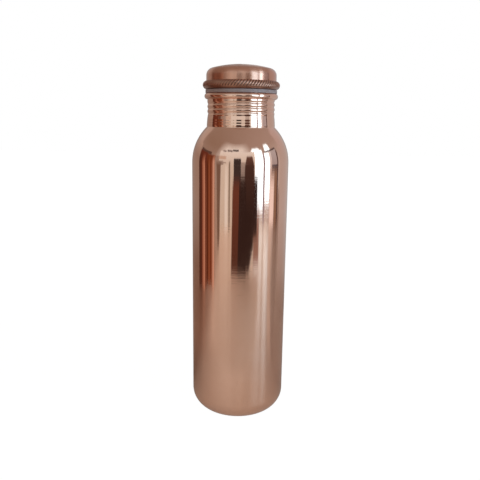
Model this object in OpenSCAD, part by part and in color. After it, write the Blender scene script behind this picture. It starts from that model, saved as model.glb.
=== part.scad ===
// Copper water bottle with a screw-in stopper cap.
// Millimetres. Z runs up the axis; the origin is the middle of the base, on the table.

/* [Body] */
// Outer diameter of the straight barrel
body_d = 73; // [62:0.5:90]
// Thickness of the copper sheet
wall = 0.6; // [0.4:0.05:0.9]
// Radius of the corner between base and barrel
base_corner_r = 14.5; // [8:0.1:18]
// Width of the flat ring that the bottle stands on
stand_ring_w = 3; // [1.5:0.1:5]
// Height of the shallow hollow pressed into the base
base_hollow_h = 2.2; // [1:0.1:4]
// Radius of the arc that rounds the shoulder
shoulder_r = 37; // [30:0.5:60]

/* [Neck] */
// Height at which the shoulder runs into the neck
neck_z = 224.6; // [150:0.2:280]
// Outer diameter of the neck
neck_d = 50.4; // [40:0.2:54]
// Height of the neck, up to the flat land on the lip
neck_h = 24; // [22:0.2:32]
// Radius of the crease between shoulder and neck
crease_r = 1.2; // [0.6:0.1:2.5]
// How far the curled lip stands out from the neck
lip_out = 2; // [1.6:0.1:2.6]
// Height of the curled lip
lip_h = 4.4; // [4:0.1:6]
// Height pressed flat on top of the lip, where the gasket seals
lip_land_cut = 0.2; // [0.1:0.05:0.3]

/* [Rolled thread] */
// Pitch of the thread
thread_pitch = 3.4; // [3:0.1:4.5]
// Depth of the thread
thread_depth = 0.5; // [0.3:0.05:0.9]
// Radius of the roller that presses each groove
groove_r = 1.35; // [1.1:0.05:1.6]
// Turns of the thread in the neck
thread_turns = 3; // [2:1:4]
// Distance from the underside of the lip to the first groove
thread_start = 2.6; // [2:0.1:4]

/* [Gasket] */
// Thickness of the gasket
gasket_h = 2.6; // [1.5:0.1:4]
// How far the gasket reaches past the neck
gasket_out = 1.3; // [0.8:0.1:1.8]
// Radius of the gasket's edges
gasket_edge_r = 0.5; // [0.2:0.1:0.7]

/* [Cap] */
// Height of the cap above the gasket
cap_h = 18.2; // [14:0.1:26]
// How far the cap's wall stands out from the neck
cap_out = 0.65; // [0.4:0.05:1.5]
// Radius of the rounded edge of the cap's top
cap_edge_r = 5.4; // [3:0.1:7]
// Radius of the crown across the cap's top
cap_crown_r = 85; // [60:5:200]
// How far the grip bead stands out from the cap's wall
bead_out = 2.6; // [2.3:0.1:3.2]
// Height of the grip bead
bead_h = 6.2; // [5.5:0.1:7.5]

/* [Plug] */
// Depth of the plug below the gasket's top face
plug_h = 20; // [16:0.1:24]
// Radius of the corner round the plug's bottom
plug_corner_r = 3; // [1:0.1:5]
// Height of the collar that holds the plug in the cap
collar_h = 8; // [5:0.1:9]

/* [Fits] */
// Radial clearance between the thread in the neck and the plug
thread_clearance = 0.3; // [0.2:0.05:0.4]
// Radial clearance between plug and gasket
gasket_clearance = 0.3; // [0.2:0.05:0.4]
// Gap between the grip bead and the gasket, which only the plug presses
bead_clearance = 0.1; // [0.05:0.05:0.3]
// Gap between the cut edge of a curl and the wall it springs from
curl_gap = 0.35; // [0.2:0.05:0.5]

/* [Hidden] */
$fn = 128;

copper = [0.78, 0.50, 0.38];
cap_copper = [0.66, 0.38, 0.29];
plug_copper = [0.74, 0.46, 0.34];
grey_silicone = [0.47, 0.44, 0.46];

body_r = body_d / 2;
neck_r = neck_d / 2;

// Base: the hollow is a shallow spherical cap inside the stand ring
base_flat_r = body_r - base_corner_r;
hollow_edge_r = base_flat_r - stand_ring_w;
hollow_r = (hollow_edge_r ^ 2 + base_hollow_h ^ 2) / (2 * base_hollow_h);
hollow_axis_z = base_hollow_h - hollow_r;

// Shoulder: an arc tangent to the barrel, which meets the neck at neck_z
shoulder_axis_r = body_r - shoulder_r;
shoulder_z = neck_z - sqrt(shoulder_r ^ 2 - (neck_r - shoulder_axis_r) ^ 2);
crease_axis_r = neck_r + crease_r;
crease_axis_z = shoulder_z + sqrt((shoulder_r + crease_r) ^ 2 - (crease_axis_r - shoulder_axis_r) ^ 2);

// Lip, and the grooves below it
lip_z = neck_z + neck_h;
lip_curl_r = (lip_h + lip_land_cut) / 2;
lip_axis_r = neck_r + lip_out - lip_curl_r;
lip_axis_z = lip_z + lip_land_cut - lip_curl_r;
groove_axis_r = neck_r - thread_depth + groove_r;
groove_top_z = lip_z - lip_h - thread_start;

// Cap, stacked on the gasket
gasket_z = lip_z + gasket_h;
cap_r = neck_r + cap_out;
cap_z = gasket_z + cap_h;
bead_r = bead_h / 2;
bead_axis_r = cap_r + bead_out - bead_r;
bead_axis_z = gasket_z + bead_clearance + bead_r;
crown_axis_z = cap_z - cap_crown_r;
cap_edge_axis_r = cap_r - cap_edge_r;
cap_edge_axis_z = crown_axis_z + sqrt((cap_crown_r - cap_edge_r) ^ 2 - cap_edge_axis_r ^ 2);

// Plug, which clears the ridges that the thread leaves inside the neck
plug_r = neck_r - wall - thread_depth - thread_clearance;
plug_z = gasket_z - plug_h;
collar_r = cap_r - wall;

// Point on the shoulder where the crease starts, on the sheet's face at this inset
function crease_start(inset) =
    let (dr = crease_axis_r - shoulder_axis_r, dz = crease_axis_z - shoulder_z,
         share = (shoulder_r - inset) / (shoulder_r + crease_r))
    [shoulder_axis_r + dr * share, shoulder_z + dz * share];

// Turns an outline, drawn as radius and height, round the axis
module turned() {
    rotate_extrude() intersection() {
        children();
        square([body_d, cap_z + wall]);
    }
}

// Barrel and base, filled, drawn in by the inset
module barrel_fill(inset) {
    translate([0, inset])
        square([base_flat_r, shoulder_z - inset]);
    translate([0, base_corner_r])
        square([body_r - inset, shoulder_z - base_corner_r]);
    translate([base_flat_r, base_corner_r])
        circle(base_corner_r - inset);
}

// Shoulder and neck, filled, drawn in by the inset
module neck_fill(inset) {
    translate([shoulder_axis_r, shoulder_z])
        intersection() {
            circle(shoulder_r - inset);
            square([shoulder_r, neck_z - shoulder_z]);
        }
    translate([0, neck_z])
        square([neck_r - inset, lip_axis_z + inset - neck_z]);
    polygon([
        [0, shoulder_z],
        crease_start(inset),
        [crease_axis_r, crease_axis_z],
        [neck_r - inset, crease_axis_z],
        [0, crease_axis_z],
    ]);
}

// What is pressed into the sheet from outside: base hollow, crease and thread grooves
module pressings(inset) {
    translate([0, hollow_axis_z])
        circle(hollow_r + inset);
    translate([crease_axis_r, crease_axis_z])
        circle(crease_r + inset);
    for (turn = [0 : thread_turns - 1])
        translate([groove_axis_r, groove_top_z - turn * thread_pitch])
            circle(groove_r + inset);
}

// The bottle's outline, filled; an inset of the wall gives the inside
module body_fill(inset) {
    difference() {
        union() {
            barrel_fill(inset);
            neck_fill(inset);
        }
        pressings(inset);
    }
}

// Rim of a wall rolled outward into a hollow bead. The cut edge stops short of the wall on its upper or lower side.
module curl(axis_r, axis_z, curl_r, wall_r, edge_up) {
    difference() {
        intersection() {
            translate([axis_r, axis_z])
                circle(curl_r);
            translate([wall_r - wall, axis_z - curl_r])
                square(2 * curl_r);
        }
        intersection() {
            translate([axis_r, axis_z])
                circle(curl_r - wall);
            translate([wall_r, axis_z - curl_r])
                square(2 * curl_r);
        }
        translate([wall_r, axis_z - (edge_up ? 0 : curl_r)])
            square([curl_gap, curl_r]);
    }
}

// The cap's outline, filled; an inset of the wall gives the inside
module cap_fill(inset) {
    crown_reach = (cap_crown_r + wall) / (cap_edge_axis_z - crown_axis_z);
    translate([0, bead_axis_z - inset])
        square([cap_r - inset, cap_edge_axis_z - bead_axis_z + inset]);
    translate([cap_edge_axis_r, cap_edge_axis_z])
        circle(cap_edge_r - inset);
    intersection() {
        translate([0, crown_axis_z])
            circle(cap_crown_r - inset);
        polygon([
            [0, cap_edge_axis_z],
            [cap_edge_axis_r, cap_edge_axis_z],
            [cap_edge_axis_r * crown_reach, cap_z + wall],
            [0, cap_z + wall],
        ]);
    }
}

// The plug's outline, filled: a cup with a wider collar above its flange
module plug_fill(inset) {
    translate([0, plug_z + inset])
        square([plug_r - plug_corner_r, plug_h]);
    translate([0, plug_z + plug_corner_r])
        square([plug_r - inset, plug_h - plug_corner_r + inset]);
    translate([plug_r - plug_corner_r, plug_z + plug_corner_r])
        circle(plug_corner_r - inset);
    translate([0, gasket_z + inset])
        square([collar_r - inset, collar_h]);
}

// Seamless drawn body with its rolled neck and curled lip
module bottle_body() {
    color(copper) turned() {
        difference() {
            body_fill(0);
            body_fill(wall);
        }
        intersection() {
            curl(lip_axis_r, lip_axis_z, lip_curl_r, neck_r, false);
            square([body_d, lip_z]);
        }
    }
}

// Pressed cap with its rim curled outward into the grip bead
module cap_shell() {
    color(cap_copper) turned() {
        difference() {
            cap_fill(0);
            cap_fill(wall);
        }
        curl(bead_axis_r, bead_axis_z, bead_r, cap_r, true);
    }
}

// Drawn plug, held in the cap by its collar
module cap_plug() {
    color(plug_copper) turned() difference() {
        plug_fill(0);
        plug_fill(wall);
    }
}

// Flat silicone ring with rounded edges
module gasket() {
    inner_r = plug_r + gasket_clearance;
    outer_r = neck_r + gasket_out;
    color(grey_silicone) turned() {
        translate([inner_r, lip_z])
            square([outer_r - gasket_edge_r - inner_r, gasket_h]);
        translate([inner_r, lip_z + gasket_edge_r])
            square([outer_r - inner_r, gasket_h - 2 * gasket_edge_r]);
        for (z = [lip_z + gasket_edge_r, gasket_z - gasket_edge_r])
            translate([outer_r - gasket_edge_r, z])
                circle(gasket_edge_r);
    }
}

bottle_body();
cap_shell();
cap_plug();
gasket();
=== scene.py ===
"""Copper water bottle: the looks of its body, cap, plug and gasket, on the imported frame."""

import math

import bmesh
import bpy
from mathutils import Matrix, Vector


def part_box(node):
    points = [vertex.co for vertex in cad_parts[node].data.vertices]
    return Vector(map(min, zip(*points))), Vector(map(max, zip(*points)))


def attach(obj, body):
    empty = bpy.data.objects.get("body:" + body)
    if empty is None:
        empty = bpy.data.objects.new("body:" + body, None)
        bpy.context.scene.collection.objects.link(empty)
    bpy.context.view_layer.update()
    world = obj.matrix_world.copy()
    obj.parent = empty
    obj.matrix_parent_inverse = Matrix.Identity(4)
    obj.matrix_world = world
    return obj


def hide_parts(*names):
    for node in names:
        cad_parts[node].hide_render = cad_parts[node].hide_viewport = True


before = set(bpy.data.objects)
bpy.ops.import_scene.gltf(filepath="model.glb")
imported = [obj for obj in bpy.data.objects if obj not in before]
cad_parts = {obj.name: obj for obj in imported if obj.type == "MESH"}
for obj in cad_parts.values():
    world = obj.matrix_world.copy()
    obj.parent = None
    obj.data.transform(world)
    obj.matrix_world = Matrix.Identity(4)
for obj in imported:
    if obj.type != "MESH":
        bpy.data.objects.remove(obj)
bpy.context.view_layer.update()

MM = 0.001

# Sizes of the frame, in millimetres
BODY_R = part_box("bottle_body")[1].x / MM
LIP_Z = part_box("bottle_body")[1].z / MM
GASKET_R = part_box("gasket")[1].x / MM
GASKET_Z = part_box("gasket")[1].z / MM
BEAD_OUT_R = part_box("cap_shell")[1].x / MM
CAP_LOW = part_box("cap_shell")[0].z / MM
CAP_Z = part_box("cap_shell")[1].z / MM
COLLAR_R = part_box("cap_plug")[1].x / MM
COLLAR_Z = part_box("cap_plug")[1].z / MM
PLUG_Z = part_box("cap_plug")[0].z / MM

# Sizes of the pressed sheet, in millimetres
WALL = 0.6
BASE_CORNER_R = 14.5
STAND_RING_W = 3.0
STAND_EDGE_R = 1.0
BASE_HOLLOW_H = 2.2
SHOULDER_R = 37.0
NECK_R = 25.2
NECK_Z = 224.6
CREASE_R = 1.2
LIP_OUT = 2.0
LIP_H = 4.4
LIP_LAND_CUT = 0.2
CURL_GAP = 0.35
CURL_GAP_DEPTH = 1.0
EDGE_R = 0.25
CAP_EDGE_R = 5.4
CAP_CROWN_R = 85.0
BEAD_H = 6.2
PLUG_CORNER_R = 3.0
GASKET_EDGE_R = 0.5

# Rolled thread, in millimetres: its groove is pressed inward through the sheet of the neck
THREAD_PITCH = 3.4
THREAD_DEPTH = 0.5
THREAD_PHASE_Z = 239.0
THREAD_LOW = 232.0
THREAD_HIGH = 244.0
THREAD_FADE = 1.0
THREAD_STEP = 0.25
THREAD_CLEARANCE = 0.3
PLUG_THREAD_LOW = 233.0
PLUG_THREAD_HIGH = 244.6

# Power that narrows the thread's groove and broadens its crest
GROOVE_POWER = 1.4

# How far the neck stands out from its straight wall, as height and offset in millimetres
NECK_FORM = (
    (224.3, 0.0),
    (225.3, 0.3),
    (230.3, -0.1),
    (232.6, -0.4),
    (234.5, -0.16),
    (244.2, -0.16),
    (245.2, 0.0),
)

# Faint ripple low on the neck, in millimetres
RIPPLE = 0.02
RIPPLE_PITCH = 1.87
RIPPLE_Z = 229.43
RIPPLE_LOW = 226.0
RIPPLE_HIGH = 230.5

# Diamond knurl on the grip bead: depth and rise in millimetres, reach in degrees round the bead
KNURL_TEETH = 80
KNURL_DEPTH = 0.42
KNURL_RISE = 3.1
KNURL_TOP = 68
KNURL_LOW = -26
KNURL_FADE = 8

# Shares of the knurl's depth for its second cut, and of its pitch for the land left uncut
KNURL_CROSS = 0.45
KNURL_LAND = 0.25

# Oxide and painted shade on the grip bead, as shares: on the knurl's ridges, added in its grooves, and beside
# the knurl; the darkening in the grooves and on the plain curl beside the knurl is painted shade as well as
# oxide
RIDGE_OXIDE_AND_SHADE = 0.12
GROOVE_OXIDE_AND_SHADE = 0.74
PLAIN_OXIDE_AND_SHADE = 0.57

# Parting line round the gasket, in millimetres
PARTING_DEPTH = 0.05
PARTING_HALF = 0.08

# Facets round each piece, the angle in degrees past which an edge is sharp, and what counts as touching in mm
SIDES = 192
GASKET_SIDES = 160
SIDES_PER_TOOTH = 8
SHARP_ANGLE = 40
MERGE = 0.002
TOUCH = 0.01


# Outlines, drawn as radius and height in millimetres


def start(r, z):
    """A new bmesh with the first point of an outline."""
    bm = bmesh.new()
    return bm, bm.verts.new((r * MM, 0, z * MM))


def line(bm, tip, r, z, step=None):
    """Draws on to this point, with points about one step apart on the way."""
    begin = tip.co.copy()
    end = Vector((r * MM, 0, z * MM))
    steps = max(1, round((end - begin).length / MM / step)) if step else 1
    for count in range(1, steps + 1):
        tip = bmesh.ops.extrude_vert_indiv(bm, verts=[tip])["verts"][0]
        tip.co = begin.lerp(end, count / steps)
    return tip


def arc(bm, tip, axis_r, axis_z, turn, steps):
    """Draws on round this axis, by a turn in degrees that is anticlockwise with the radius to the right."""
    drawn = bmesh.ops.spin(
        bm,
        geom=[tip],
        cent=(axis_r * MM, 0, axis_z * MM),
        axis=(0, -1, 0),
        angle=math.radians(turn),
        steps=steps,
    )
    return drawn["geom_last"][0]


def turned(bm, sides):
    """Turns the outline round the axis into a closed skin."""
    bmesh.ops.spin(
        bm,
        geom=bm.verts[:] + bm.edges[:],
        cent=(0, 0, 0),
        axis=(0, 0, 1),
        angle=2 * math.pi,
        steps=sides,
        use_merge=True,
    )
    bmesh.ops.remove_doubles(bm, verts=bm.verts, dist=MERGE * MM)
    bmesh.ops.recalc_face_normals(bm, faces=bm.faces)


def polar(point):
    """(radius, angle, height) of a point, lengths in millimetres."""
    return math.hypot(point.x, point.y) / MM, math.atan2(point.y, point.x), point.z / MM


def push_out(vert, distance):
    """Moves a vertex away from the axis, in millimetres."""
    away = Vector((vert.co.x, vert.co.y, 0)).normalized()
    vert.co += away * distance * MM


def smoothstep(low, high, x):
    """Smooth rise from 0 to 1 between low and high."""
    t = min(1.0, max(0.0, (x - low) / (high - low)))
    return t * t * (3 - 2 * t)


# Pieces


def finished(name, bm, body, node, slot, *materials):
    """Makes the piece, in place of its CAD node."""
    mesh = bpy.data.meshes.new(name)
    bm.to_mesh(mesh)
    bm.free()
    mesh.shade_smooth()
    mesh.set_sharp_from_angle(angle=math.radians(SHARP_ANGLE))
    for material in materials:
        mesh.materials.append(material)
    piece = bpy.data.objects.new(name, mesh)
    bpy.context.scene.collection.objects.link(piece)
    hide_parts(node)
    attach(piece, body)
    return piece


def thread_groove(angle, z, low, high):
    """(share of the groove's depth here, share of the thread's run here) on a right-hand helix."""
    turns = (z - THREAD_PHASE_Z) / THREAD_PITCH - angle / (2 * math.pi)
    off = turns - round(turns)
    centre_z = z - off * THREAD_PITCH
    run = smoothstep(low, low + THREAD_FADE, centre_z)
    run *= 1 - smoothstep(high - THREAD_FADE, high, centre_z)
    return (0.5 + 0.5 * math.cos(2 * math.pi * off)) ** GROOVE_POWER, run


def neck_form(z):
    """How far the neck stands out from its straight wall at this height."""
    form = 0.0
    for (low, low_form), (high, high_form) in zip(NECK_FORM, NECK_FORM[1:]):
        if low < z <= high:
            form = low_form + (high_form - low_form) * (z - low) / (high - low)
    if RIPPLE_LOW < z < RIPPLE_HIGH:
        form += RIPPLE * math.sin(2 * math.pi * (z - RIPPLE_Z) / RIPPLE_PITCH)
    return form


def roll_thread(bm, crease_r):
    """Forms the neck, and presses the helix into both its faces."""
    for vert in bm.verts:
        radius, angle, z = polar(vert.co)
        if NECK_R - WALL - TOUCH < radius < crease_r and NECK_Z - 1 < z < LIP_Z - 0.5:
            on_wall = min(abs(radius - NECK_R), abs(radius - NECK_R + WALL)) < TOUCH
            depth, run = thread_groove(angle, z, THREAD_LOW, THREAD_HIGH)
            on_curl = z > LIP_Z - LIP_H and radius > NECK_R + TOUCH
            if not on_curl:
                push_out(vert, neck_form(z) - on_wall * THREAD_DEPTH * depth * run)


def bottle_body(outer, inner):
    """Seamless body: outer face up from the base, curled lip, inner face down."""
    base_flat_r = BODY_R - BASE_CORNER_R
    hollow_edge_r = base_flat_r - STAND_RING_W
    hollow_r = (hollow_edge_r ** 2 + BASE_HOLLOW_H ** 2) / (2 * BASE_HOLLOW_H)
    hollow_z = BASE_HOLLOW_H - hollow_r
    hollow_turn = math.degrees(math.asin(hollow_edge_r / hollow_r))
    inner_edge_r = math.sqrt((hollow_r + WALL) ** 2 - (WALL - hollow_z) ** 2)
    inner_turn = math.degrees(math.asin(inner_edge_r / (hollow_r + WALL)))

    shoulder_axis_r = BODY_R - SHOULDER_R
    shoulder_z = NECK_Z - math.sqrt(SHOULDER_R ** 2 - (NECK_R - shoulder_axis_r) ** 2)
    crease_r = NECK_R + CREASE_R
    crease_z = shoulder_z + math.sqrt((SHOULDER_R + CREASE_R) ** 2 - (crease_r - shoulder_axis_r) ** 2)
    crease_turn = math.degrees(math.atan2(crease_z - shoulder_z, crease_r - shoulder_axis_r))

    curl_r = (LIP_H + LIP_LAND_CUT) / 2
    curl_axis_r = NECK_R + LIP_OUT - curl_r
    curl_axis_z = LIP_Z + LIP_LAND_CUT - curl_r
    cut_r = NECK_R + CURL_GAP
    cut_z = curl_axis_z - math.sqrt(curl_r ** 2 - (cut_r - curl_axis_r) ** 2)
    gap_z = cut_z + CURL_GAP_DEPTH
    curl_turn = math.degrees(
        math.asin((LIP_Z - curl_axis_z) / curl_r) + math.acos((cut_r - curl_axis_r) / curl_r)
    )

    bm, tip = start(0, BASE_HOLLOW_H)
    tip = arc(bm, tip, 0, hollow_z, -hollow_turn, 12)
    tip = line(bm, tip, base_flat_r, 0, 1.5)
    tip = arc(bm, tip, base_flat_r, BASE_CORNER_R, 90, 32)
    tip = line(bm, tip, BODY_R, shoulder_z, 8)
    tip = arc(bm, tip, shoulder_axis_r, shoulder_z, crease_turn, 40)
    tip = arc(bm, tip, crease_r, crease_z, -crease_turn, 8)
    tip = line(bm, tip, NECK_R, gap_z, THREAD_STEP)
    tip = line(bm, tip, cut_r, gap_z)
    tip = line(bm, tip, cut_r, cut_z)
    tip = arc(bm, tip, curl_axis_r, curl_axis_z, curl_turn, 24)
    tip = line(bm, tip, NECK_R - WALL + EDGE_R, LIP_Z)
    tip = arc(bm, tip, NECK_R - WALL + EDGE_R, LIP_Z - EDGE_R, 90, 4)
    tip = line(bm, tip, NECK_R - WALL, crease_z, THREAD_STEP)
    tip = arc(bm, tip, crease_r, crease_z, crease_turn, 6)
    tip = arc(bm, tip, shoulder_axis_r, shoulder_z, -crease_turn, 24)
    tip = line(bm, tip, BODY_R - WALL, BASE_CORNER_R, 12)
    tip = arc(bm, tip, base_flat_r, BASE_CORNER_R, -90, 16)
    tip = line(bm, tip, inner_edge_r, WALL)
    arc(bm, tip, 0, hollow_z, inner_turn, 8)
    turned(bm, SIDES)

    stand_edge = [
        edge
        for edge in bm.edges
        if all(abs(polar(v.co)[0] - hollow_edge_r) < TOUCH and v.co.z < TOUCH * MM for v in edge.verts)
    ]
    bmesh.ops.bevel(
        bm, geom=stand_edge, offset=STAND_EDGE_R * MM, affect="EDGES", segments=4, profile=0.5, material=-1
    )
    roll_thread(bm, crease_r)
    bm.normal_update()
    polish_end = LIP_Z - 0.4
    for face in bm.faces:
        middle = face.calc_center_median()
        low = middle.z < BASE_CORNER_R * MM
        inward = face.normal.z if low else -face.normal.dot(Vector((middle.x, middle.y, 0)))
        face.material_index = int(inward > 0 and middle.z < polish_end * MM)
    return finished("bottle_body_copper", bm, "bottle", "bottle_body", "body_copper", outer, inner)


def knurl_share(angle, curl_angle, bead_r):
    """(share of the knurl's depth, share of the knurl's reach) here: diamonds that lean to the right."""
    along = math.radians(curl_angle) * bead_r / KNURL_RISE
    around = angle * KNURL_TEETH / (2 * math.pi)
    steep, cross = (abs((around + way * along) % 1 - 0.5) * 2 for way in (-1, 1))
    reach = smoothstep(KNURL_LOW, KNURL_LOW + KNURL_FADE, curl_angle)
    reach *= 1 - smoothstep(KNURL_TOP - KNURL_FADE, KNURL_TOP, curl_angle)
    return reach * smoothstep(KNURL_LAND, 1.0, max(steep, KNURL_CROSS * cross)), reach


def cap_shell(copper):
    """Pressed cap: crown, rounded edge, wall, and the rim curled outward into the knurled bead."""
    cap_r = COLLAR_R + WALL
    bead_r = BEAD_H / 2
    bead_axis_r = BEAD_OUT_R - bead_r
    bead_axis_z = CAP_LOW + bead_r
    edge_axis_r = cap_r - CAP_EDGE_R
    crown_z = CAP_Z - CAP_CROWN_R
    edge_axis_z = crown_z + math.sqrt((CAP_CROWN_R - CAP_EDGE_R) ** 2 - edge_axis_r ** 2)
    crown_turn = math.degrees(math.asin(edge_axis_r / (CAP_CROWN_R - CAP_EDGE_R)))
    cut_r = cap_r + CURL_GAP
    cut_z = bead_axis_z + math.sqrt(bead_r ** 2 - (cut_r - bead_axis_r) ** 2)
    gap_z = cut_z - CURL_GAP_DEPTH
    curl_turn = 90 + math.degrees(math.acos((cut_r - bead_axis_r) / bead_r))

    bm, tip = start(0, CAP_Z)
    tip = arc(bm, tip, 0, crown_z, -crown_turn, 10)
    tip = arc(bm, tip, edge_axis_r, edge_axis_z, crown_turn - 90, 14)
    tip = line(bm, tip, cap_r, gap_z, 1.5)
    tip = line(bm, tip, cut_r, gap_z)
    tip = line(bm, tip, cut_r, cut_z)
    tip = arc(bm, tip, bead_axis_r, bead_axis_z, -curl_turn, 48)
    tip = line(bm, tip, COLLAR_R, CAP_LOW)
    tip = line(bm, tip, COLLAR_R, edge_axis_z, 6)
    tip = arc(bm, tip, edge_axis_r, edge_axis_z, 90 - crown_turn, 8)
    arc(bm, tip, 0, crown_z, crown_turn, 4)
    turned(bm, KNURL_TEETH * SIDES_PER_TOOTH)

    # Share of oxide and painted shade: darker in the knurl's grooves and on the plain curl beside the knurl
    oxide_and_shade = bm.verts.layers.float.new("oxide_and_shade")
    for vert in bm.verts:
        radius, angle, z = polar(vert.co)
        if radius < cut_r + TOUCH or z > cut_z:
            continue
        curl_angle = math.degrees(math.atan2(z - bead_axis_z, radius - bead_axis_r))
        share, reach = knurl_share(angle, curl_angle, bead_r)
        groove = smoothstep(0.05, 0.5, share)
        vert[oxide_and_shade] = RIDGE_OXIDE_AND_SHADE * reach + GROOVE_OXIDE_AND_SHADE * groove + PLAIN_OXIDE_AND_SHADE * (1 - reach)
        push_out(vert, -KNURL_DEPTH * share * math.cos(math.radians(curl_angle)))
        vert.co.z -= KNURL_DEPTH * share * math.sin(math.radians(curl_angle)) * MM
    return finished("cap_shell_copper", bm, "cap", "cap_shell", "cap_copper", copper)


def cap_plug(copper):
    """Drawn plug: closed bottom, threaded shank, flange and collar."""
    plug_r = NECK_R - WALL - THREAD_DEPTH - THREAD_CLEARANCE
    corner_r = plug_r - PLUG_CORNER_R
    corner_z = PLUG_Z + PLUG_CORNER_R

    bm, tip = start(0, PLUG_Z)
    tip = line(bm, tip, corner_r, PLUG_Z, 7)
    tip = arc(bm, tip, corner_r, corner_z, 90, 10)
    tip = line(bm, tip, plug_r, GASKET_Z, THREAD_STEP)
    tip = line(bm, tip, COLLAR_R - EDGE_R, GASKET_Z)
    tip = arc(bm, tip, COLLAR_R - EDGE_R, GASKET_Z + EDGE_R, 90, 4)
    tip = line(bm, tip, COLLAR_R, COLLAR_Z)
    tip = line(bm, tip, COLLAR_R - WALL, COLLAR_Z)
    tip = line(bm, tip, COLLAR_R - WALL, GASKET_Z + WALL)
    tip = line(bm, tip, plug_r - WALL, GASKET_Z + WALL)
    tip = line(bm, tip, plug_r - WALL, corner_z)
    tip = arc(bm, tip, corner_r, corner_z, -90, 6)
    line(bm, tip, 0, PLUG_Z + WALL, 10)
    turned(bm, SIDES)

    for vert in bm.verts:
        radius, angle, z = polar(vert.co)
        on_shank = radius > corner_r and abs(radius - plug_r) < WALL + 0.2 and z < GASKET_Z - 0.1
        if on_shank:
            depth, run = thread_groove(angle, z, PLUG_THREAD_LOW, PLUG_THREAD_HIGH)
            outside = abs(radius - plug_r) < TOUCH and z > corner_z
            push_out(vert, min(0.0, neck_form(z)) + outside * THREAD_DEPTH * (1 - depth) * run)
    return finished("cap_plug_copper", bm, "cap", "cap_plug", "plug_copper", copper)


def gasket(silicone):
    """Moulded ring with rounded edges and a fine parting line round its middle."""
    inner_r = NECK_R - WALL - THREAD_DEPTH
    edge_r = GASKET_R - GASKET_EDGE_R
    middle_z = (LIP_Z + GASKET_Z) / 2

    bm, tip = start(inner_r, LIP_Z)
    tip = line(bm, tip, edge_r, LIP_Z)
    tip = arc(bm, tip, edge_r, LIP_Z + GASKET_EDGE_R, 90, 6)
    tip = line(bm, tip, GASKET_R - PARTING_DEPTH, middle_z - PARTING_HALF)
    tip = line(bm, tip, GASKET_R, middle_z)
    tip = line(bm, tip, GASKET_R - PARTING_DEPTH, middle_z + PARTING_HALF)
    tip = line(bm, tip, GASKET_R, GASKET_Z - GASKET_EDGE_R)
    tip = arc(bm, tip, edge_r, GASKET_Z - GASKET_EDGE_R, 90, 6)
    tip = line(bm, tip, inner_r, GASKET_Z)
    line(bm, tip, inner_r, LIP_Z)
    turned(bm, GASKET_SIDES)
    return finished("gasket_silicone", bm, "seal", "gasket", "silicone", silicone)


# Shader nodes


def put(tree, socket, value):
    """Links or sets one input."""
    if isinstance(value, bpy.types.NodeSocket):
        tree.links.new(value, socket)
    else:
        socket.default_value = value


def feed(tree, node, **inputs):
    """Links or sets a node's inputs by name, with _ for a space."""
    for name, value in inputs.items():
        put(tree, node.inputs[name.replace("_", " ")], value)


def add(tree, kind, settings=None, **inputs):
    """A new node, with its settings and its inputs."""
    node = tree.nodes.new("ShaderNode" + kind)
    for name, value in (settings or {}).items():
        setattr(node, name, value)
    feed(tree, node, **inputs)
    return node


def maths(tree, operation, *values):
    """The result of a sum on values or sockets."""
    node = add(tree, "Math", {"operation": operation})
    for socket, value in zip(node.inputs, values):
        put(tree, socket, value)
    return node.outputs[0]


def plus(tree, base, share, amount):
    """The base, with this amount added where the share is 1."""
    return maths(tree, "MULTIPLY_ADD", share, amount, base)


def spread(tree, value, low, high, to_low=0.0, to_high=1.0):
    """The value's range from low to high, stretched to another, with the rest clamped."""
    node = add(tree, "MapRange", Value=value, From_Min=low, From_Max=high, To_Min=to_low, To_Max=to_high)
    return node.outputs[0]


def blend(tree, share, first, second):
    """Mix of two colours."""
    node = add(tree, "Mix", {"data_type": "RGBA"})
    for socket, value in zip((node.inputs[0], node.inputs[6], node.inputs[7]), (share, first, second)):
        put(tree, socket, value)
    return node.outputs[2]


def noise(tree, place, scale, detail=2.0, roughness=0.5):
    """Plain noise in space."""
    return add(tree, "TexNoise", Vector=place, Scale=scale, Detail=detail, Roughness=roughness).outputs[0]


def split(tree, place):
    """The x, y and z of a place."""
    return add(tree, "SeparateXYZ", Vector=place).outputs[:]


def bump(tree, height, distance, under=None):
    """A normal raised by this height, over another normal where one is given."""
    node = add(tree, "Bump", Height=height, Distance=distance)
    if under:
        put(tree, node.inputs["Normal"], under)
    return node.outputs["Normal"]


def new_group(name, inputs, outputs):
    """A node group and its in and out nodes."""
    group = bpy.data.node_groups.new(name, "ShaderNodeTree")
    for label, kind in inputs.items():
        group.interface.new_socket(label, in_out="INPUT", socket_type="NodeSocket" + kind)
    for label, kind in outputs.items():
        group.interface.new_socket(label, in_out="OUTPUT", socket_type="NodeSocket" + kind)
    return group, group.nodes.new("NodeGroupInput"), group.nodes.new("NodeGroupOutput")


def use(tree, group, **inputs):
    """A node group placed in a material's tree."""
    return add(tree, "Group", {"node_tree": group}, **inputs)


def turning_lines():
    """Fine rings left by spinning and polishing, broken up along their way round."""
    group, given, out = new_group(
        "turning_lines", {"Place": "Vector", "Lines per metre": "Float"}, {"Height": "Float"}
    )
    place = given.outputs["Place"]
    x, y, z = split(group, place)
    square = maths(group, "MULTIPLY", x, x)
    square = maths(group, "MULTIPLY_ADD", y, y, square)
    along = maths(group, "ADD", maths(group, "SQRT", square), z)
    wander = maths(group, "MULTIPLY", noise(group, place, 45.0), 0.6 * MM)
    at = maths(group, "MULTIPLY", maths(group, "ADD", along, wander), given.outputs["Lines per metre"])
    rings = add(group, "TexNoise", {"noise_dimensions": "1D"}, W=at, Scale=1.0, Detail=3.0, Roughness=0.6)
    broken = spread(group, noise(group, place, 120.0, 3.0), 0.3, 0.7, 0.35, 1.0)
    feed(group, out, Height=maths(group, "MULTIPLY", rings.outputs[0], broken))
    return group


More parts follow.
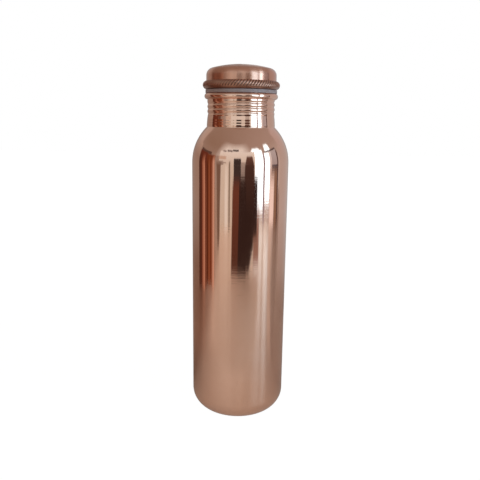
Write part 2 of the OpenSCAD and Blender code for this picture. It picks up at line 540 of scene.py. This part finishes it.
def tarnish():
    """Clouds of thin oxide: a warmer, deeper colour and a duller gloss."""
    group, given, out = new_group(
        "tarnish",
        {"Place": "Vector", "Bright": "Color", "Deep": "Color", "Amount": "Float"},
        {"Color": "Color", "Dullness": "Float"},
    )
    place = given.outputs["Place"]
    clouds = spread(group, noise(group, place, 16.0, 5.0, 0.62), 0.4, 0.72)
    mottle = spread(group, noise(group, place, 210.0, 3.0, 0.6), 0.35, 0.75)
    share = plus(group, clouds, mottle, 0.25)
    share = maths(group, "MULTIPLY", share, given.outputs["Amount"])
    feed(
        group,
        out,
        Color=blend(group, share, given.outputs["Bright"], given.outputs["Deep"]),
        Dullness=share,
    )
    return group


def scratches():
    """Hairline handling marks in three directions."""
    group, given, out = new_group("scratches", {"Place": "Vector"}, {"Mask": "Float"})
    marks = 0.0
    for turn in ((0.4, 0.2, 0.3), (1.3, 0.5, 1.9), (0.2, 1.1, 2.7)):
        way = add(
            group, "Mapping", Vector=given.outputs["Place"], Scale=(34.0, 900.0, 900.0), Rotation=turn
        ).outputs[0]
        mark = spread(group, noise(group, way, 1.0), 0.69, 0.74)
        marks = maths(group, "MAXIMUM", mark, marks)
    feed(group, out, Mask=marks)
    return group


def new_material(name):
    """A material, its node tree, its shader and the place on the piece."""
    material = bpy.data.materials.new(name)
    material.use_nodes = True
    tree = material.node_tree
    return material, tree, tree.nodes["Principled BSDF"], add(tree, "TexCoord").outputs["Object"]


# Materials


def polished_copper(groups):
    """Mirror polish outside, with slight waves in the sheet, duller on the rolled thread and at the foot."""
    material, tree, shader, place = new_material("polished_copper")
    worn = use(
        tree,
        groups["tarnish"],
        Place=place,
        Bright=(0.90, 0.56, 0.43, 1),
        Deep=(0.84, 0.48, 0.34, 1),
        Amount=0.5,
    )
    lines = use(tree, groups["turning_lines"], Place=place, Lines_per_metre=800.0).outputs["Height"]
    marks = use(tree, groups["scratches"], Place=place).outputs["Mask"]
    height = split(tree, place)[2]
    foot = spread(tree, height, 12 * MM, 2 * MM)
    thread_begins = spread(tree, height, (THREAD_LOW - 0.5) * MM, (THREAD_LOW + 1.5) * MM)
    thread_ends = spread(tree, height, (THREAD_HIGH + 1.5) * MM, THREAD_HIGH * MM)
    rolled = maths(tree, "MULTIPLY", thread_begins, thread_ends)
    rough = plus(tree, 0.058, worn.outputs["Dullness"], 0.03)
    rough = plus(tree, rough, marks, 0.06)
    rough = plus(tree, rough, foot, 0.1)
    rough = plus(tree, rough, rolled, 0.08)
    waves = bump(tree, noise(tree, place, 30.0, 1.0), 0.08 * MM)
    rings = maths(tree, "MULTIPLY", lines, spread(tree, height, 20 * MM, 3 * MM, 0.8, 2.0))
    feed(
        tree,
        shader,
        Base_Color=worn.outputs["Color"],
        Roughness=rough,
        Normal=bump(tree, rings, 0.015 * MM, waves),
        Metallic=1.0,
        Anisotropic=0.8,
        Anisotropic_Rotation=0.25,
    )
    return material


def drawn_copper(groups):
    """Plain copper inside the bottle and on the plug, as it leaves the press."""
    material, tree, shader, place = new_material("drawn_copper")
    worn = use(
        tree,
        groups["tarnish"],
        Place=place,
        Bright=(0.82, 0.46, 0.33, 1),
        Deep=(0.55, 0.26, 0.16, 1),
        Amount=0.7,
    )
    lines = use(tree, groups["turning_lines"], Place=place, Lines_per_metre=1100.0).outputs["Height"]
    feed(
        tree,
        shader,
        Base_Color=worn.outputs["Color"],
        Roughness=plus(tree, 0.26, worn.outputs["Dullness"], 0.14),
        Normal=bump(tree, lines, 0.02 * MM),
        Metallic=1.0,
    )
    return material


def satin_copper(groups):
    """Brushed cap under a thin clear coat, with oxide and painted shade darkening the grooves of its knurl
    and the curl under its bead.
    """
    material, tree, shader, place = new_material("satin_copper")
    worn = use(
        tree,
        groups["tarnish"],
        Place=place,
        Bright=(0.75, 0.365, 0.245, 1),
        Deep=(0.60, 0.255, 0.15, 1),
        Amount=0.7,
    )
    # Near-black colour for oxide and painted shade in the knurl's grooves and on the bead's plain curl
    dark_oxide_and_shade = (0.07, 0.024, 0.014, 1)
    lines = use(tree, groups["turning_lines"], Place=place, Lines_per_metre=2600.0).outputs["Height"]
    marks = use(tree, groups["scratches"], Place=place).outputs["Mask"]
    oxide_and_shade = add(tree, "Attribute", {"attribute_name": "oxide_and_shade"}).outputs["Fac"]
    bead_top = CAP_LOW + BEAD_H
    bead = spread(tree, split(tree, place)[2], (bead_top + 0.5) * MM, (bead_top - 0.5) * MM)
    rough = plus(tree, 0.28, worn.outputs["Dullness"], 0.05)
    rough = plus(tree, rough, oxide_and_shade, 0.06)
    rough = plus(tree, rough, marks, 0.05)
    rough = plus(tree, rough, bead, -0.07)
    feed(
        tree,
        shader,
        Base_Color=blend(tree, oxide_and_shade, worn.outputs["Color"], dark_oxide_and_shade),
        Roughness=rough,
        Normal=bump(tree, lines, 0.01 * MM),
        Metallic=1.0,
        Coat_Weight=spread(tree, oxide_and_shade, 0.0, 1.0, 0.7, 0.1),
        Coat_Roughness=0.15,
        Anisotropic=0.95,
        Anisotropic_Rotation=0.25,
    )
    return material


def grey_silicone():
    """Moulded silicone, smooth with a faint bloom."""
    material, tree, shader, place = new_material("grey_silicone")
    bare = (0.34, 0.23, 0.21, 1)
    dusty = (0.43, 0.305, 0.275, 1)
    bloom = spread(tree, noise(tree, place, 320.0, 4.0, 0.65), 0.35, 0.75)
    feed(
        tree,
        shader,
        Base_Color=blend(tree, bloom, bare, dusty),
        Roughness=spread(tree, bloom, 0.0, 1.0, 0.36, 0.5),
        Normal=bump(tree, noise(tree, place, 1500.0), 0.02 * MM),
    )
    return material


# Stage: a light tent with cards round the bottle, which only its reflections and its light see

# Radius of the tent and half the floor's width in metres, and the floor's drop in millimetres
TENT_R = 1.4
FLOOR_HALF = 3.0
FLOOR_DROP = 0.2

# Camera: lens and sensor in millimetres, place in metres, angles in degrees
LENS = 41.52
SENSOR = 36.0
CAMERA_PLACE = (0, -0.42385, 0.23313)
CAMERA_TURN = -0.0765
CAMERA_TILT = 77.287
CAMERA_ROLL = 0.79641


def glow(name, colour):
    """A plain lit surface, its node tree and its light."""
    material = bpy.data.materials.new(name)
    material.use_nodes = True
    tree = material.node_tree
    tree.nodes.remove(tree.nodes["Principled BSDF"])
    light = add(tree, "Emission", Color=(*colour, 1))
    feed(tree, tree.nodes["Material Output"], Surface=light.outputs[0])
    return material, tree, light


def mixed(tree, share, first, second):
    """Puts a mix of two shaders on the surface."""
    mix = add(tree, "MixShader", Fac=share)
    put(tree, mix.inputs[1], first.outputs[0])
    put(tree, mix.inputs[2], second.outputs[0])
    feed(tree, tree.nodes["Material Output"], Surface=mix.outputs[0])


def staged(name, bm, material, shown=False):
    """Makes a piece of the stage, which the camera doesn't see unless it is shown."""
    mesh = bpy.data.meshes.new(name)
    bm.to_mesh(mesh)
    bm.free()
    mesh.materials.append(material)
    piece = bpy.data.objects.new(name, mesh)
    bpy.context.scene.collection.objects.link(piece)
    piece.visible_camera = shown


def card_sheet(distance, first, last, low, high, taper):
    """An upright sheet, curved round the bottle, whose top is narrower or wider by the taper."""
    half = math.radians(last - first) / 2
    middle = math.radians(first + last) / 2
    bm = bmesh.new()
    corner = bm.verts.new((0, -distance, low))
    bmesh.ops.rotate(bm, verts=[corner], cent=(0, 0, 0), matrix=Matrix.Rotation(-half, 3, "Z"))
    bmesh.ops.spin(
        bm,
        geom=[corner],
        cent=(0, 0, 0),
        axis=(0, 0, 1),
        angle=2 * half,
        steps=max(2, round((last - first) / 3)),
    )
    raised = bmesh.ops.extrude_edge_only(bm, edges=bm.edges[:])["geom"]
    upper = [part for part in raised if isinstance(part, bmesh.types.BMVert)]
    bmesh.ops.translate(bm, verts=upper, vec=(0, 0, high - low))
    bmesh.ops.scale(bm, verts=upper, vec=(taper, 1, 1))
    bmesh.ops.rotate(bm, verts=bm.verts, cent=(0, 0, 0), matrix=Matrix.Rotation(middle, 3, "Z"))
    return bm


def card(name, distance, first, last, low, high, colour, top=None, taper=1.0, soft=0.0, foot=0.0):
    """A lit card. Angles are in degrees from the camera's side, positive to the right, lengths in metres.

    It may change to another colour at its top, fade out towards its sides and top over a soft share of
    its size, and fade out towards its foot.
    """
    material, tree, light = glow(name, colour)
    x, y, z = split(tree, add(tree, "TexCoord").outputs["Object"])
    rise = spread(tree, z, low, high)
    if top:
        feed(tree, light, Color=blend(tree, rise, (*colour, 1), (*top, 1)))
    share = spread(tree, rise, 0.0, foot) if foot else 1.0
    if soft:
        half = math.radians(last - first) / 2
        middle = math.radians(first + last) / 2
        turn = maths(tree, "ARCTAN2", x, maths(tree, "MULTIPLY", y, -1.0))
        off = maths(tree, "ABSOLUTE", maths(tree, "SUBTRACT", turn, middle))
        width = plus(tree, half, rise, (taper - 1) * half)
        side_share = spread(tree, maths(tree, "DIVIDE", off, width), 1.0, 1.0 - soft)
        top_share = spread(tree, rise, 1.0, 1.0 - soft)
        share = maths(tree, "MULTIPLY", maths(tree, "MULTIPLY", side_share, top_share), share)
    if soft or foot:
        mixed(tree, share, add(tree, "BsdfTransparent"), light)
    staged(name, card_sheet(distance, first, last, low, high, taper), material)


def tent():
    """Dome over the stage, dimmer and warmer to the left and towards its top."""
    bm = bmesh.new()
    bmesh.ops.create_uvsphere(bm, u_segments=48, v_segments=24, radius=TENT_R)
    everything = bm.verts[:] + bm.edges[:] + bm.faces[:]
    bmesh.ops.bisect_plane(bm, geom=everything, plane_co=(0, 0, 0), plane_no=(0, 0, -1), clear_outer=True)
    material, tree, light = glow("tent", (1, 1, 1))
    x, _, z = split(tree, add(tree, "TexCoord").outputs["Object"])
    across = spread(tree, x, -0.95 * TENT_R, 0.8 * TENT_R)
    rise = spread(tree, z, 0.25 * TENT_R, 0.65 * TENT_R)
    sides = blend(tree, across, (0.36, 0.33, 0.31, 1), (0.54, 0.56, 0.58, 1))
    roof = blend(tree, across, (0.28, 0.23, 0.19, 1), (0.42, 0.39, 0.38, 1))
    feed(tree, light, Color=blend(tree, rise, sides, roof))
    staged("tent", bm, material)


def floor_zones(tree, x, y):
    """Two masks of the floor: pale in front of the bottle and straight behind it, where light is painted, and
    warm to its left, where warm shade is painted.
    """
    right = maths(tree, "MAXIMUM", x, 0.0)
    front = spread(tree, plus(tree, y, right, 0.35), 0.04, -0.11)
    behind = spread(tree, plus(tree, y, maths(tree, "ABSOLUTE", x), -4.0), 0.0, 0.1)
    aside = plus(tree, maths(tree, "MULTIPLY", x, -1.0), y, 0.8)
    warm = maths(tree, "SUBTRACT", spread(tree, aside, 0.11, 0.22, 0.0, 0.5), behind)
    return maths(tree, "MAXIMUM", front, behind), maths(tree, "MAXIMUM", warm, 0.0)


def floor_painted_light_and_shade(tree, x, away, pale, warm):
    """The floor's colour, with painted light and shade: brown behind the bottle as painted shade, darkest
    near it on its left as a painted contact shadow and paler farther off, with its pale zones of painted
    light and its warm zone of painted shade.
    """
    # Painted shade: darker close to the bottle on its left, as a painted contact shadow
    back_left_painted_shade = blend(tree, spread(tree, away, 0.07, 0.2), (0.36, 0.275, 0.22, 1), (0.58, 0.455, 0.375, 1))
    back_painted_shade = blend(tree, spread(tree, x, -0.1, 0.1), back_left_painted_shade, (0.57, 0.465, 0.395, 1))
    colour = blend(tree, pale, back_painted_shade, (0.82, 0.76, 0.67, 1))
    return blend(tree, warm, colour, (0.50, 0.31, 0.22, 1))


def floor_sheen(tree, x, y, away, pale, warm):
    """How much of the floor is lit white in reflections: its pale zone, and a thin wedge to the right."""
    near = spread(tree, away, 0.05, 0.14, 0.31, 0.15)
    far = spread(tree, away, 0.14, 0.45, 0.15, 0.2)
    level = maths(tree, "MAXIMUM", near, far)
    level = maths(tree, "MULTIPLY", level, spread(tree, x, -0.2, 0.1, 1.45, 0.95))
    zone = maths(tree, "MULTIPLY", maths(tree, "SUBTRACT", 1.0, warm), pale)
    slope = maths(tree, "DIVIDE", y, maths(tree, "MAXIMUM", x, 0.001))
    wedge = spread(tree, maths(tree, "ABSOLUTE", maths(tree, "ADD", slope, 0.255)), 0.13, 0.05)
    wedge = maths(tree, "MULTIPLY", wedge, spread(tree, away, 0.11, 0.22, 0.0, 0.19))
    return maths(tree, "MULTIPLY_ADD", zone, level, wedge)


def floor():
    """Pale floor: white to the camera apart from the bottle's shadow, and partly lit in reflections."""
    bm = bmesh.new()
    bmesh.ops.create_grid(bm, x_segments=1, y_segments=1, size=FLOOR_HALF)
    bmesh.ops.translate(bm, verts=bm.verts, vec=(0, 0, -FLOOR_DROP * MM))
    material, tree, shader, place = new_material("pale_floor")
    x, y, _ = split(tree, place)
    away = add(tree, "VectorMath", {"operation": "LENGTH"}, Vector=place).outputs["Value"]
    pale, warm = floor_zones(tree, x, y)
    feed(
        tree,
        shader,
        Base_Color=floor_painted_light_and_shade(tree, x, away, pale, warm),
        Roughness=0.3,
        Specular_IOR_Level=0.26,
        Specular_Tint=(1.0, 0.60, 0.45, 1),
    )
    ray = add(tree, "LightPath")
    glossy = ray.outputs["Is Glossy Ray"]
    share = maths(tree, "MULTIPLY", ray.outputs["Is Camera Ray"], 0.9)
    share = plus(tree, share, glossy, floor_sheen(tree, x, y, away, pale, warm))
    tint = blend(tree, glossy, (1, 1, 1, 1), (1, 0.93, 0.84, 1))
    mixed(tree, share, shader, add(tree, "Emission", Color=tint, Strength=1.1))
    staged("floor", bm, material, shown=True)


def white_world():
    """Plain white beyond the stage."""
    world = bpy.data.worlds.new("white")
    bpy.context.scene.world = world
    world.use_nodes = True
    feed(world.node_tree, world.node_tree.nodes["Background"], Color=(1, 1, 1, 1), Strength=1.0)


def camera():
    """The photograph's camera."""
    data = bpy.data.cameras.new("camera")
    data.lens = LENS
    data.sensor_width = SENSOR
    eye = bpy.data.objects.new("camera", data)
    eye.matrix_world = (
        Matrix.Translation(CAMERA_PLACE)
        @ Matrix.Rotation(math.radians(CAMERA_TURN), 4, "Z")
        @ Matrix.Rotation(math.radians(CAMERA_TILT), 4, "X")
        @ Matrix.Rotation(math.radians(CAMERA_ROLL), 4, "Z")
    )
    bpy.context.scene.collection.objects.link(eye)
    bpy.context.scene.camera = eye


camera()
white_world()
floor()
tent()

# Wide pale card in front, behind the camera, with its patches and dashes
card("front_card", 0.80, -50, 34, 0.0, 0.60, (0.62, 0.65, 0.60), top=(0.82, 0.97, 1.03))
card("front_card_top", 0.81, -64, 34, 0.42, 1.04, (0.80, 0.95, 1.02), taper=0.7, soft=0.55)
card("front_patch_high", 0.79, -53, -32, 0.335, 0.45, (0.59, 0.54, 0.48), soft=0.3)
card("front_patch_low", 0.79, -51, -38, 0.17, 0.30, (0.33, 0.32, 0.31), soft=0.3)
card("front_patch_line", 0.79, -47, -31, 0.22, 0.26, (0.36, 0.35, 0.33), soft=0.4)
card("front_strip_light", 0.788, -36, -27, 0.0, 0.20, (0.80, 0.93, 0.95), soft=0.5)
card("front_strip_dark", 0.785, -26.2, -22.3, 0.0, 0.32, (0.26, 0.26, 0.23), soft=0.3)
card("dash_left", 0.78, -43.5, -35, 0.572, 0.622, (0.24, 0.25, 0.27))
card("dash_middle", 0.78, -33, -20, 0.593, 0.662, (0.15, 0.15, 0.16))
card("dash_right", 0.78, -19, -4.5, 0.618, 0.690, (0.055, 0.055, 0.06))

# Bright cards to the right, with the grey and dark ones between and round them
LIGHT = (2.0, 3.2, 4.1)
WEAK_LIGHT = (1.7, 2.7, 3.5)
STRONG_LIGHT = (2.7, 4.3, 5.5)
card("light_left", 0.85, 33.2, 54.4, 0.03, 0.66, WEAK_LIGHT)
card("light_left_top", 0.855, 19, 57, 0.46, 0.80, LIGHT, taper=0.45, soft=0.4)
card("light_gap", 0.84, 54.2, 58.9, 0.0, 0.57, (0.33, 0.32, 0.40), soft=0.2)
card("light_right", 0.85, 58.4, 72, 0.05, 0.56, STRONG_LIGHT, soft=0.2)
card("light_right_edge", 0.86, 70, 78, 0.03, 0.54, (0.62, 0.62, 0.65), top=(0.80, 0.98, 1.15))
card("light_foot", 0.865, 33, 78, 0.0, 0.06, (0.58, 0.60, 0.63))
card("grey_card_right", 0.865, 76, 96, 0.15, 0.54, (0.42, 0.44, 0.50), top=(0.50, 0.58, 0.68))
card("light_right_top", 0.855, 61, 81, 0.58, 0.87, LIGHT, taper=0.7, soft=0.45)
card("dark_line_high", 0.83, 58.5, 98, 0.53, 0.585, (0.11, 0.10, 0.11), soft=0.2)
card("dark_line_low", 0.83, 78, 96, 0.125, 0.165, (0.10, 0.10, 0.13))
card("brown_card_low", 0.835, 76, 96, 0.0, 0.125, (0.28, 0.205, 0.155))
card("light_low", 0.832, 72, 87, 0.0, 0.125, (0.98, 1.03, 1.10), soft=0.35)
card("dark_line_side", 0.825, 94.3, 98.9, 0.0, 0.55, (0.11, 0.08, 0.08), soft=0.2)

# Dark cards in front
BLACK = (0.035, 0.022, 0.02)
card("dark_card_left", 0.45, -14.8, 2.0, 0.0, 0.312, (0.05, 0.045, 0.047), soft=0.08)
card("grey_card", 0.60, 1, 17, 0.0, 0.272, (0.36, 0.365, 0.365), soft=0.2)
card(
    "dark_card_right",
    0.45,
    8,
    34,
    0.10,
    0.356,
    (0.04, 0.025, 0.022),
    top=(0.15, 0.09, 0.075),
    taper=0.5,
    soft=0.15,
)
card("low_dark_card", 0.44, -4, 16, 0.0, 0.145, BLACK, taper=0.8, soft=0.1)
card("low_dark_card_slope", 0.46, 11.5, 21.5, 0.0, 0.06, BLACK, taper=4.5)
card("low_dark_card_wide", 0.455, -3, 40.5, 0.055, 0.15, BLACK, soft=0.06)
card("low_warm_card", 0.47, 30, 47, 0.0, 0.12, (0.30, 0.205, 0.175), soft=0.4, foot=0.15)
card(
    "low_red_card",
    0.445,
    -19,
    4,
    0.0,
    0.148,
    (0.085, 0.04, 0.028),
    top=(0.16, 0.06, 0.04),
    taper=0.82,
    soft=0.12,
)

# Plain cards at the sides, each in bands that change colour upward
RIGHT_LOW = (0.50, 0.51, 0.53)
RIGHT_MIDDLE = (0.49, 0.49, 0.495)
RIGHT_HIGH = (0.52, 0.49, 0.505)
card("side_right", 0.28, 101, 178, 0.0, 0.12, (0.33, 0.295, 0.27), top=RIGHT_LOW, foot=0.35)
card("side_right_middle", 0.28, 101, 178, 0.12, 0.24, RIGHT_LOW, top=RIGHT_MIDDLE)
card("side_right_rise", 0.28, 102, 178, 0.24, 0.31, RIGHT_MIDDLE, top=RIGHT_HIGH)
card("side_right_slope", 0.28, 103, 178, 0.31, 0.46, RIGHT_HIGH, taper=0.8, soft=0.3)
card("side_right_shade", 0.275, 146, 186, 0.0, 0.44, (0.37, 0.36, 0.35), soft=0.5, foot=0.1)
LEFT_MIDDLE = (0.33, 0.28, 0.25)
LEFT_HIGH = (0.47, 0.43, 0.40)
card("side_left", 0.40, -178, -110, 0.0, 0.12, (0.22, 0.155, 0.125), top=(0.34, 0.30, 0.275), foot=0.45)
card("side_left_middle", 0.40, -178, -110, 0.12, 0.24, (0.34, 0.295, 0.265), top=LEFT_MIDDLE)
card("side_left_rise", 0.40, -178, -112, 0.24, 0.36, LEFT_MIDDLE, top=LEFT_HIGH)
card("side_left_slope", 0.40, -178, -114, 0.36, 0.56, LEFT_HIGH, taper=0.75, soft=0.3)
card("side_left_shade", 0.39, -186, -148, 0.0, 0.50, (0.27, 0.22, 0.195), soft=0.5, foot=0.1)
card("strip_light_behind", 0.27, 166, 194, 0.0, 0.38, (1.5, 1.5, 1.5), soft=0.45)

# Warm cards to the left, for copper things beside the bottle, with their highlights painted on as orange and
# bright strips
card("taupe_card", 0.62, -53, -47, 0.0, 0.285, (0.19, 0.145, 0.115), taper=3.2, soft=0.4)
card("red_card_left", 0.37, -108, -81, 0.0, 0.315, (0.14, 0.042, 0.026), soft=0.05)
card("red_card_edge", 0.365, -109.5, -98, 0.0, 0.315, (0.085, 0.035, 0.022), soft=0.3)
card("orange_strip_left", 0.36, -96, -90.5, 0.0, 0.286, (0.38, 0.19, 0.125), soft=0.35)
card("bright_strip_left", 0.355, -91.5, -86.5, 0.0, 0.286, (0.54, 0.31, 0.225), soft=0.35)
card("orange_line", 0.36, -85, -82.5, 0.0, 0.20, (0.28, 0.135, 0.085), soft=0.4)
card("red_card_right", 0.385, -82.8, -58.8, 0.0, 0.309, (0.17, 0.052, 0.022), soft=0.05)
card("red_card_gap", 0.38, -83, -77.5, 0.0, 0.25, (0.10, 0.032, 0.016), soft=0.3)
card("orange_strip_middle", 0.375, -76.2, -71, 0.0, 0.29, (0.26, 0.10, 0.05), soft=0.4)
card("orange_strip_right", 0.375, -67.3, -62.3, 0.0, 0.31, (0.36, 0.175, 0.115), soft=0.35)
card("bright_strip_right", 0.37, -64.3, -59, 0.0, 0.316, (0.62, 0.43, 0.345), soft=0.3)
card("dark_card_top", 0.39, -108, -70, 0.302, 0.340, (0.10, 0.07, 0.06), soft=0.12)

groups = {"turning_lines": turning_lines(), "tarnish": tarnish(), "scratches": scratches()}
polished = polished_copper(groups)
drawn = drawn_copper(groups)

bottle_body(polished, drawn)
cap_shell(satin_copper(groups))
cap_plug(drawn)
gasket(grey_silicone())

bpy.context.scene.view_settings.view_transform = "Standard"
